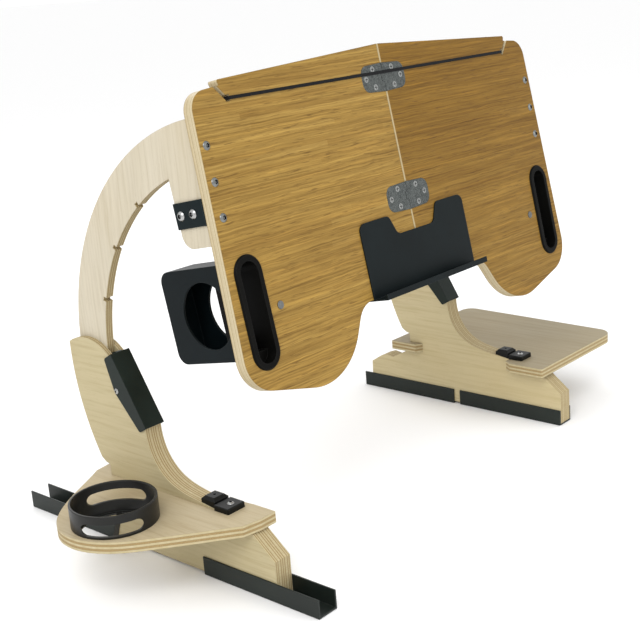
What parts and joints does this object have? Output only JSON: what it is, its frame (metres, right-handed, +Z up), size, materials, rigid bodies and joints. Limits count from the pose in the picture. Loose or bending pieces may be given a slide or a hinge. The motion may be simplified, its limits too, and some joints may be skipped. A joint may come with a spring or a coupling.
{
  "type": "over-lap laptop and book stand",
  "caption": "Over-lap stand: a leaning bamboo desk panel on two arc-shaped plywood arms that slide in two legs, with a book rest, cup shelf, mouse tray and draw-out feet.",
  "frame": {"origin": "bottom centre of the whole object's box, on the floor", "axes": "+Z up, +X to the user's right along the desk, -Y towards the user"},
  "size_m": [0.8408, 0.454, 0.5075],
  "materials": {
    "bamboo": "satin lacquer",
    "birch_ply": "satin lacquer",
    "black_metal": "satin powder coat",
    "black_plastic": "fine texture",
    "zinc": "zinc plate",
    "steel": "bright",
    "elastic": "knitted"
  },
  "bodies": {
    "left_leg": {"cup_ring": "black_plastic", "cup_shelf": "birch_ply", "left_cheek_inner": "birch_ply", "left_cheek_outer": "birch_ply", "left_clip_block": "black_plastic", "left_clip_plate": "black_plastic", "left_clip_screw": "steel", "left_core_front": "birch_ply", "left_core_rear": "birch_ply", "left_foot_pins": "steel", "left_latch_pin": "steel", "left_latch_spring": "steel"},
    "desk": {"book_rest": "black_metal", "left_arm": "birch_ply", "left_panel": "bamboo", "left_panel_screws": "steel", "left_plug": "zinc", "left_pocket_box": "black_plastic", "left_pocket_rim": "black_plastic", "left_saddle": "black_metal", "left_saddle_bolts": "steel", "lower_hinge_left_leaf": "zinc", "lower_hinge_pin": "steel", "lower_hinge_right_leaf": "zinc", "lower_hinge_screws": "steel", "page_band": "elastic", "right_arm": "birch_ply", "right_panel": "bamboo", "right_panel_screws": "steel", "right_plug": "zinc", "right_pocket_box": "black_plastic", "right_pocket_rim": "black_plastic", "right_saddle": "black_metal", "right_saddle_bolts": "steel", "upper_hinge_left_leaf": "zinc", "upper_hinge_pin": "steel", "upper_hinge_right_leaf": "zinc", "upper_hinge_screws": "steel"},
    "right_leg": {"mouse_tray": "birch_ply", "right_cheek_inner": "birch_ply", "right_cheek_outer": "birch_ply", "right_clip_block": "black_plastic", "right_clip_plate": "black_plastic", "right_clip_screw": "steel", "right_core_front": "birch_ply", "right_core_rear": "birch_ply", "right_foot_pins": "steel", "right_latch_pin": "steel", "right_latch_spring": "steel"},
    "left_front_foot": {"left_front_foot": "black_metal"},
    "left_latch": {"left_latch": "black_metal"},
    "left_rear_foot": {"left_rear_foot": "black_metal"},
    "right_front_foot": {"right_front_foot": "black_metal"},
    "right_latch": {"right_latch": "black_metal"},
    "right_rear_foot": {"right_rear_foot": "black_metal"}
  },
  "joints": [
    {"name": "left_tilt", "type": "hinge", "parent": "left_leg", "child": "desk", "pos_m": [-0.28845, -0.15, 0.219], "axis": [-1, 0, 0], "range_deg": [0, 52.5]},
    {"name": "right_tilt", "type": "hinge", "parent": "desk", "child": "right_leg", "pos_m": [0.24995, -0.15, 0.219], "axis": [-1, 0, 0], "range_deg": [-52.5, 0]},
    {"name": "left_latch_rock", "type": "hinge", "parent": "left_leg", "child": "left_latch", "pos_m": [-0.28845, 0.0382, 0.1799], "axis": [-1, 0, 0], "range_deg": [0, 4.8], "stiffness_Nm_per_rad": 0.4, "springref_deg": 14.32},
    {"name": "right_latch_rock", "type": "hinge", "parent": "right_leg", "child": "right_latch", "pos_m": [0.24995, 0.0382, 0.1799], "axis": [-1, 0, 0], "range_deg": [0, 4.8], "stiffness_Nm_per_rad": 0.4, "springref_deg": 14.32},
    {"name": "left_front_foot_slide", "type": "slide", "parent": "left_leg", "child": "left_front_foot", "axis": [0, -1, 0], "range_m": [-0.055, 0.02]},
    {"name": "left_rear_foot_slide", "type": "slide", "parent": "left_leg", "child": "left_rear_foot", "axis": [0, 1, 0], "range_m": [-0.075, 0]},
    {"name": "right_front_foot_slide", "type": "slide", "parent": "right_leg", "child": "right_front_foot", "axis": [0, -1, 0], "range_m": [0, 0.075]},
    {"name": "right_rear_foot_slide", "type": "slide", "parent": "right_leg", "child": "right_rear_foot", "axis": [0, 1, 0], "range_m": [0, 0.075]}
  ],
  "couplings": [
    {"joint": "right_tilt", "follows": "left_tilt", "ratio": -1}
  ]
}
